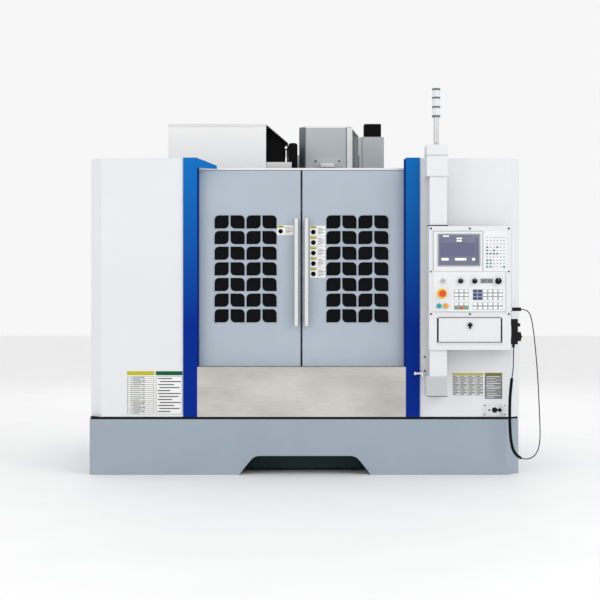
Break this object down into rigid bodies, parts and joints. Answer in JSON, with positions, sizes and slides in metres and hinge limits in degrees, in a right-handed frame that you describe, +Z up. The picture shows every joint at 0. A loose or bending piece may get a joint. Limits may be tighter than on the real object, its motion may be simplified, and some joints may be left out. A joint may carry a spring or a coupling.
{
  "type": "cnc machining center",
  "caption": "Vertical machining center: enclosed castings with sliding doors, carousel tool changer, swinging control panel and corded hand pendant.",
  "frame": {"origin": "on the floor, at the bottom centre of the machine without the pendant's cord", "axes": "+Z up, +X to the right seen from the operator's side, +Y away from the operator"},
  "size_m": [2.7036, 2.35, 2.316],
  "materials": {
    "base_paint": "semi-gloss grey-blue paint",
    "door_paint": "satin grey-blue paint",
    "white_paint": "fine textured white paint",
    "blue_paint": "gloss blue paint",
    "grey_paint": "light grey paint",
    "dark_paint": "dark paint",
    "stainless": "brushed",
    "machined_steel": "ground",
    "tool_steel": "blackened and ground",
    "casting": "painted casting",
    "aluminium": "anodised",
    "seal_rubber": "matte",
    "window_glass": "dark tinted",
    "black_plastic": "fine grained",
    "panel_film": "printed film",
    "red_plastic": "moulded",
    "teal_plastic": "moulded",
    "amber_plastic": "moulded",
    "lamp_lens": "clear ribbed",
    "cord_rubber": "satin sheath"
  },
  "bodies": {
    "machine": {"base_skirt": "base_paint", "base_seal": "seal_rubber", "leveling_feet": "machined_steel", "bed": "casting", "guide_rails": "machined_steel", "axis_drives": "dark_paint", "column": "casting", "front_panels": "white_paint", "side_and_rear_panels": "white_paint", "pillars": "blue_paint", "apron": "stainless", "door_rails": "white_paint", "cooler_unit": "grey_paint", "magazine_cover": "white_paint", "magazine_beam": "casting", "panel_brackets": "white_paint", "lamp_pole": "machined_steel", "signal_lamp": "lamp_lens", "electrical_cabinet": "grey_paint", "coolant_tank": "dark_paint"},
    "left_door_body": {"left_door": "door_paint", "left_pane": "window_glass", "left_handle": "stainless"},
    "right_door_body": {"right_door": "door_paint", "right_pane": "window_glass", "right_handle": "stainless"},
    "saddle_body": {"saddle": "casting", "cross_rails": "machined_steel", "cross_drive": "dark_paint"},
    "table_body": {"table": "machined_steel"},
    "head_body": {"head": "casting", "head_hood": "grey_paint", "spindle_motor": "dark_paint"},
    "spindle_body": {"spindle": "machined_steel", "spindle_tool": "tool_steel"},
    "carriage_body": {"magazine_carriage": "casting"},
    "disc_body": {"magazine_disc": "aluminium", "magazine_tools": "tool_steel"},
    "panel_body": {"control_box": "white_paint", "control_post": "white_paint", "display_unit": "panel_film", "operator_panel": "panel_film", "pendant": "black_plastic", "cord_connector": "black_plastic", "cord_lead": "cord_rubber", "cord_curl": "cord_rubber", "cord_tail": "cord_rubber"},
    "flap_body": {"storage_flap": "white_paint"},
    "latch_body": {"flap_latch": "black_plastic"},
    "stop_body": {"emergency_button": "red_plastic"},
    "teal_body": {"teal_button": "teal_plastic"},
    "amber_body": {"amber_button": "amber_plastic"},
    "key_body": {"key_switch": "machined_steel"},
    "feed_body": {"feed_knob": "black_plastic"},
    "speed_body": {"speed_knob": "black_plastic"},
    "mode_body": {"mode_dial": "black_plastic"},
    "wheel_body": {"pendant_wheel": "black_plastic"},
    "axis_body": {"axis_selector": "black_plastic"},
    "step_body": {"step_selector": "black_plastic"},
    "cabinet_door_body": {"cabinet_door": "grey_paint"}
  },
  "joints": [
    {"name": "left_door_slide", "type": "slide", "parent": "machine", "child": "left_door_body", "axis": [-1, 0, 0], "range_m": [0, 0.54]},
    {"name": "right_door_slide", "type": "slide", "parent": "machine", "child": "right_door_body", "axis": [1, 0, 0], "range_m": [0, 0.54]},
    {"name": "saddle_slide", "type": "slide", "parent": "machine", "child": "saddle_body", "axis": [0, 1, 0], "range_m": [-0.25, 0.25]},
    {"name": "table_slide", "type": "slide", "parent": "saddle_body", "child": "table_body", "axis": [1, 0, 0], "range_m": [-0.4, 0.4]},
    {"name": "head_slide", "type": "slide", "parent": "machine", "child": "head_body", "axis": [0, 0, 1], "range_m": [-0.49, 0]},
    {"name": "spindle_turn", "type": "hinge", "parent": "head_body", "child": "spindle_body", "pos_m": [0.14, -0.05, 1.5], "axis": [0, 0, 1], "continuous": true},
    {"name": "magazine_slide", "type": "slide", "parent": "machine", "child": "carriage_body", "axis": [1, 0, 0], "range_m": [0, 0.36]},
    {"name": "disc_turn", "type": "hinge", "parent": "carriage_body", "child": "disc_body", "pos_m": [-0.45, -0.05, 1.484], "axis": [0, 0, 1], "continuous": true},
    {"name": "panel_swing", "type": "hinge", "parent": "machine", "child": "panel_body", "pos_m": [0.789, -1.065, 1.1], "axis": [0, 0, 1], "range_deg": [-75, 0]},
    {"name": "flap_hinge", "type": "hinge", "parent": "panel_body", "child": "flap_body", "pos_m": [0.9725, -1.1333, 0.797], "axis": [1, 0, 0], "range_deg": [0, 90]},
    {"name": "latch_turn", "type": "hinge", "parent": "flap_body", "child": "latch_body", "pos_m": [0.974, -1.1343, 0.905], "axis": [0, 1, 0], "range_deg": [0, 90]},
    {"name": "stop_press", "type": "slide", "parent": "panel_body", "child": "stop_body", "axis": [0, 1, 0], "range_m": [0, 0.006], "stiffness_N_per_m": 900},
    {"name": "teal_press", "type": "slide", "parent": "panel_body", "child": "teal_body", "axis": [0, 1, 0], "range_m": [0, 0.003], "stiffness_N_per_m": 600},
    {"name": "amber_press", "type": "slide", "parent": "panel_body", "child": "amber_body", "axis": [0, 1, 0], "range_m": [0, 0.003], "stiffness_N_per_m": 600},
    {"name": "key_turn", "type": "hinge", "parent": "panel_body", "child": "key_body", "pos_m": [0.815, -1.134, 1.165], "axis": [0, 1, 0], "range_deg": [0, 90]},
    {"name": "feed_turn", "type": "hinge", "parent": "panel_body", "child": "feed_body", "pos_m": [0.918, -1.134, 1.165], "axis": [0, 1, 0], "range_deg": [-135, 135]},
    {"name": "speed_turn", "type": "hinge", "parent": "panel_body", "child": "speed_body", "pos_m": [1.001, -1.134, 1.165], "axis": [0, 1, 0], "range_deg": [-135, 135]},
    {"name": "mode_turn", "type": "hinge", "parent": "panel_body", "child": "mode_body", "pos_m": [1.14, -1.134, 1.165], "axis": [0, 1, 0], "range_deg": [-135, 135]},
    {"name": "wheel_turn", "type": "hinge", "parent": "panel_body", "child": "wheel_body", "pos_m": [1.262, -1.065, 0.835], "axis": [1, 0, 0], "continuous": true},
    {"name": "axis_turn", "type": "hinge", "parent": "panel_body", "child": "axis_body", "pos_m": [1.262, -1.046, 0.905], "axis": [1, 0, 0], "range_deg": [-60, 60]},
    {"name": "step_turn", "type": "hinge", "parent": "panel_body", "child": "step_body", "pos_m": [1.262, -1.084, 0.905], "axis": [1, 0, 0], "range_deg": [-60, 60]},
    {"name": "cabinet_hinge", "type": "hinge", "parent": "machine", "child": "cabinet_door_body", "pos_m": [0.5995, 1.165, 1.1], "axis": [0, 0, 1], "range_deg": [-110, 0]}
  ]
}
